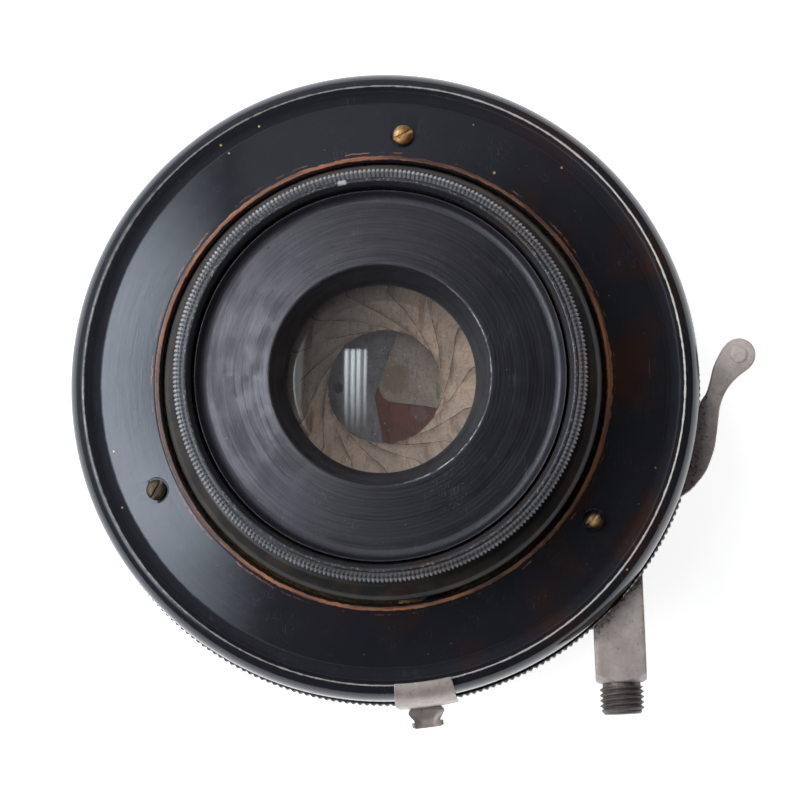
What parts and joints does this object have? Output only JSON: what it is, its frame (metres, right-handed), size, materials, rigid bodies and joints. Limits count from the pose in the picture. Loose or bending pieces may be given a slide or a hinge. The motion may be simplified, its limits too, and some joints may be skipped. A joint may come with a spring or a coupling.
{
  "type": "portrait lens in leaf shutter",
  "caption": "Round black lens in a leaf shutter, with an iris, shutter blades, a release lever, a cable release nipple, an aperture pointer and a knurled speed ring.",
  "frame": {"origin": "centre of the object's outline, at the height of the rim of the front cell that it stands on", "axes": "+Z along the optical axis towards the rear of the lens, +Y towards the cocking lever's side, and the release lever is at +X. The optical axis is at x = -4.03 mm, y = 1.8 mm"},
  "size_m": [0.0986, 0.0941, 0.0487],
  "materials": {
    "black_enamel": "glossy black enamel over brass, worn to bright metal along the rims",
    "brass": "turned brass, a little tarnished",
    "aged_nickel": "old nickel plate, dull and pinkish grey",
    "blade_steel": "thin spring steel, browned and rust stained",
    "glass": "clear polished lens glass"
  },
  "bodies": {
    "shutter": {"shutter_case": "black_enamel", "back_screw_1": "brass", "back_screw_2": "brass", "back_screw_3": "brass", "rear_flange_ring": "black_enamel", "rear_cell_barrel": "black_enamel", "rear_lens_cap": "black_enamel", "rear_outer_glass": "glass", "rear_inner_glass": "glass", "rear_retaining_ring": "black_enamel", "front_cell_barrel": "black_enamel", "front_outer_glass": "glass", "front_inner_glass": "glass", "front_retaining_ring": "black_enamel", "mechanism_plate": "brass", "front_plate": "black_enamel", "front_screw_1": "brass", "front_screw_2": "brass", "front_screw_3": "brass", "iris_base_ring": "brass", "release_block": "aged_nickel", "release_nipple": "aged_nickel", "main_spring": "blade_steel"},
    "iris_control": {"iris_cam_ring": "brass", "iris_control_arm": "brass", "aperture_pointer": "aged_nickel"},
    "iris_blade_01": {"iris_blade_01": "blade_steel"},
    "iris_blade_02": {"iris_blade_02": "blade_steel"},
    "iris_blade_03": {"iris_blade_03": "blade_steel"},
    "iris_blade_04": {"iris_blade_04": "blade_steel"},
    "iris_blade_05": {"iris_blade_05": "blade_steel"},
    "iris_blade_06": {"iris_blade_06": "blade_steel"},
    "iris_blade_07": {"iris_blade_07": "blade_steel"},
    "iris_blade_08": {"iris_blade_08": "blade_steel"},
    "iris_blade_09": {"iris_blade_09": "blade_steel"},
    "iris_blade_10": {"iris_blade_10": "blade_steel"},
    "iris_blade_11": {"iris_blade_11": "blade_steel"},
    "iris_blade_12": {"iris_blade_12": "blade_steel"},
    "iris_blade_13": {"iris_blade_13": "blade_steel"},
    "iris_blade_14": {"iris_blade_14": "blade_steel"},
    "iris_blade_15": {"iris_blade_15": "blade_steel"},
    "shutter_drive_ring": {"shutter_drive_ring": "brass"},
    "shutter_blade_1": {"shutter_blade_1": "blade_steel"},
    "shutter_blade_2": {"shutter_blade_2": "blade_steel"},
    "shutter_blade_3": {"shutter_blade_3": "blade_steel"},
    "shutter_blade_4": {"shutter_blade_4": "blade_steel"},
    "shutter_blade_5": {"shutter_blade_5": "blade_steel"},
    "release_lever": {"release_lever": "aged_nickel", "release_lever_rivet": "aged_nickel"},
    "release_plunger": {"release_plunger": "brass"},
    "cocking_lever": {"cocking_lever": "aged_nickel", "cocking_shaft_screw": "brass", "main_lever": "brass"},
    "retard_wheel": {"retard_wheel": "brass"},
    "star_wheel": {"star_wheel": "blade_steel"},
    "pallet": {"pallet": "blade_steel"},
    "speed_ring": {"speed_ring": "black_enamel"}
  },
  "joints": [
    {"name": "iris_control_turn", "type": "hinge", "parent": "shutter", "child": "iris_control", "pos_m": [-0.00403, 0.0018, 0.03275], "axis": [0, 0, 1], "range_deg": [-31, 20.5]},
    {"name": "iris_blade_01_turn", "type": "hinge", "parent": "shutter", "child": "iris_blade_01", "pos_m": [0.0012, -0.0143, 0.02878], "axis": [0.0277, -0.0853, 0.996], "range_deg": [-27, 17.9]},
    {"name": "iris_blade_02_turn", "type": "hinge", "parent": "shutter", "child": "iris_blade_02", "pos_m": [0.0073, -0.01078, 0.02878], "axis": [0.06, -0.0666, 0.996], "range_deg": [-27, 17.9]},
    {"name": "iris_blade_03_turn", "type": "hinge", "parent": "shutter", "child": "iris_blade_03", "pos_m": [0.01144, -0.00509, 0.02878], "axis": [0.0819, -0.0365, 0.996], "range_deg": [-27, 17.9]},
    {"name": "iris_blade_04_turn", "type": "hinge", "parent": "shutter", "child": "iris_blade_04", "pos_m": [0.0129, 0.0018, 0.02878], "axis": [0.0896, 0, 0.996], "range_deg": [-27, 17.9]},
    {"name": "iris_blade_05_turn", "type": "hinge", "parent": "shutter", "child": "iris_blade_05", "pos_m": [0.01144, 0.00869, 0.02878], "axis": [0.0819, 0.0365, 0.996], "range_deg": [-27, 17.9]},
    {"name": "iris_blade_06_turn", "type": "hinge", "parent": "shutter", "child": "iris_blade_06", "pos_m": [0.0073, 0.01438, 0.02878], "axis": [0.06, 0.0666, 0.996], "range_deg": [-27, 17.9]},
    {"name": "iris_blade_07_turn", "type": "hinge", "parent": "shutter", "child": "iris_blade_07", "pos_m": [0.0012, 0.0179, 0.02878], "axis": [0.0277, 0.0853, 0.996], "range_deg": [-27, 17.9]},
    {"name": "iris_blade_08_turn", "type": "hinge", "parent": "shutter", "child": "iris_blade_08", "pos_m": [-0.0058, 0.01864, 0.02878], "axis": [-0.0094, 0.0891, 0.996], "range_deg": [-27, 17.9]},
    {"name": "iris_blade_09_turn", "type": "hinge", "parent": "shutter", "child": "iris_blade_09", "pos_m": [-0.0125, 0.01646, 0.02878], "axis": [-0.0448, 0.0776, 0.996], "range_deg": [-27, 17.9]},
    {"name": "iris_blade_10_turn", "type": "hinge", "parent": "shutter", "child": "iris_blade_10", "pos_m": [-0.01773, 0.01175, 0.02878], "axis": [-0.0725, 0.0527, 0.996], "range_deg": [-27, 17.9]},
    {"name": "iris_blade_11_turn", "type": "hinge", "parent": "shutter", "child": "iris_blade_11", "pos_m": [-0.02059, 0.00532, 0.02878], "axis": [-0.0877, 0.0186, 0.996], "range_deg": [-27, 17.9]},
    {"name": "iris_blade_12_turn", "type": "hinge", "parent": "shutter", "child": "iris_blade_12", "pos_m": [-0.02059, -0.00172, 0.02878], "axis": [-0.0877, -0.0186, 0.996], "range_deg": [-27, 17.9]},
    {"name": "iris_blade_13_turn", "type": "hinge", "parent": "shutter", "child": "iris_blade_13", "pos_m": [-0.01773, -0.00815, 0.02878], "axis": [-0.0725, -0.0527, 0.996], "range_deg": [-27, 17.9]},
    {"name": "iris_blade_14_turn", "type": "hinge", "parent": "shutter", "child": "iris_blade_14", "pos_m": [-0.0125, -0.01286, 0.02878], "axis": [-0.0448, -0.0776, 0.996], "range_deg": [-27, 17.9]},
    {"name": "iris_blade_15_turn", "type": "hinge", "parent": "shutter", "child": "iris_blade_15", "pos_m": [-0.0058, -0.01504, 0.02878], "axis": [-0.0094, -0.0891, 0.996], "range_deg": [-27, 17.9]},
    {"name": "shutter_drive_turn", "type": "hinge", "parent": "shutter", "child": "shutter_drive_ring", "pos_m": [-0.00403, 0.0018, 0.0231], "axis": [0, 0, 1], "range_deg": [-13.6, 0], "stiffness_Nm_per_rad": 0.01},
    {"name": "shutter_blade_1_turn", "type": "hinge", "parent": "shutter", "child": "shutter_blade_1", "pos_m": [0.00536, 0.01946, 0.02548], "axis": [0, 0, 1], "range_deg": [0, 58.5]},
    {"name": "shutter_blade_2_turn", "type": "hinge", "parent": "shutter", "child": "shutter_blade_2", "pos_m": [0.01567, -0.00167, 0.02508], "axis": [0, 0, 1], "range_deg": [0, 58.5]},
    {"name": "shutter_blade_3_turn", "type": "hinge", "parent": "shutter", "child": "shutter_blade_3", "pos_m": [-0.00125, -0.01801, 0.02467], "axis": [0, 0, 1], "range_deg": [0, 58.5]},
    {"name": "shutter_blade_4_turn", "type": "hinge", "parent": "shutter", "child": "shutter_blade_4", "pos_m": [-0.02201, -0.00697, 0.02428], "axis": [0, 0, 1], "range_deg": [0, 58.5]},
    {"name": "shutter_blade_5_turn", "type": "hinge", "parent": "shutter", "child": "shutter_blade_5", "pos_m": [-0.01792, 0.01619, 0.02388], "axis": [0, 0, 1], "range_deg": [0, 58.5]},
    {"name": "release_lever_turn", "type": "hinge", "parent": "shutter", "child": "release_lever", "pos_m": [0.03357, -0.0146, 0.023], "axis": [0, 0, 1], "range_deg": [-8, 0], "stiffness_Nm_per_rad": 0.05},
    {"name": "release_plunger_slide", "type": "slide", "parent": "shutter", "child": "release_plunger", "axis": [-0.0401, 0.9992, 0], "range_m": [0, 0.000702]},
    {"name": "cocking_lever_turn", "type": "hinge", "parent": "shutter", "child": "cocking_lever", "pos_m": [-0.00664, 0.03169, 0.019], "axis": [0, 0, 1], "range_deg": [-45, 0], "stiffness_Nm_per_rad": 0.05},
    {"name": "retard_wheel_turn", "type": "hinge", "parent": "shutter", "child": "retard_wheel", "pos_m": [-0.02266, 0.02857, 0.0207], "axis": [0, 0, 1], "range_deg": [0, 129.1]},
    {"name": "star_wheel_turn", "type": "hinge", "parent": "shutter", "child": "star_wheel", "pos_m": [-0.02866, 0.02437, 0.0207], "axis": [0, 0, 1], "range_deg": [-180.5, 0]},
    {"name": "pallet_rock", "type": "hinge", "parent": "shutter", "child": "pallet", "pos_m": [-0.03226, 0.01814, 0.0207], "axis": [0, 0, 1], "range_deg": [-4, 4]},
    {"name": "speed_ring_turn", "type": "hinge", "parent": "shutter", "child": "speed_ring", "pos_m": [-0.00403, 0.0018, 0.0195], "axis": [0, 0, 1], "range_deg": [0, 150]}
  ],
  "couplings": [
    {"joint": "iris_blade_01_turn", "follows": "iris_control_turn", "ratio": 0.87},
    {"joint": "iris_blade_02_turn", "follows": "iris_control_turn", "ratio": 0.87},
    {"joint": "iris_blade_03_turn", "follows": "iris_control_turn", "ratio": 0.87},
    {"joint": "iris_blade_04_turn", "follows": "iris_control_turn", "ratio": 0.87},
    {"joint": "iris_blade_05_turn", "follows": "iris_control_turn", "ratio": 0.87},
    {"joint": "iris_blade_06_turn", "follows": "iris_control_turn", "ratio": 0.87},
    {"joint": "iris_blade_07_turn", "follows": "iris_control_turn", "ratio": 0.87},
    {"joint": "iris_blade_08_turn", "follows": "iris_control_turn", "ratio": 0.87},
    {"joint": "iris_blade_09_turn", "follows": "iris_control_turn", "ratio": 0.87},
    {"joint": "iris_blade_10_turn", "follows": "iris_control_turn", "ratio": 0.87},
    {"joint": "iris_blade_11_turn", "follows": "iris_control_turn", "ratio": 0.87},
    {"joint": "iris_blade_12_turn", "follows": "iris_control_turn", "ratio": 0.87},
    {"joint": "iris_blade_13_turn", "follows": "iris_control_turn", "ratio": 0.87},
    {"joint": "iris_blade_14_turn", "follows": "iris_control_turn", "ratio": 0.87},
    {"joint": "iris_blade_15_turn", "follows": "iris_control_turn", "ratio": 0.87},
    {"joint": "shutter_blade_1_turn", "follows": "shutter_drive_turn", "ratio": -4.3},
    {"joint": "shutter_blade_2_turn", "follows": "shutter_drive_turn", "ratio": -4.3},
    {"joint": "shutter_blade_3_turn", "follows": "shutter_drive_turn", "ratio": -4.3},
    {"joint": "shutter_blade_4_turn", "follows": "shutter_drive_turn", "ratio": -4.3},
    {"joint": "shutter_blade_5_turn", "follows": "shutter_drive_turn", "ratio": -4.3},
    {"joint": "release_plunger_slide", "follows": "release_lever_turn", "m_per_rad": -0.0048823},
    {"joint": "retard_wheel_turn", "follows": "cocking_lever_turn", "ratio": -2.8571},
    {"joint": "star_wheel_turn", "follows": "cocking_lever_turn", "ratio": 4}
  ]
}
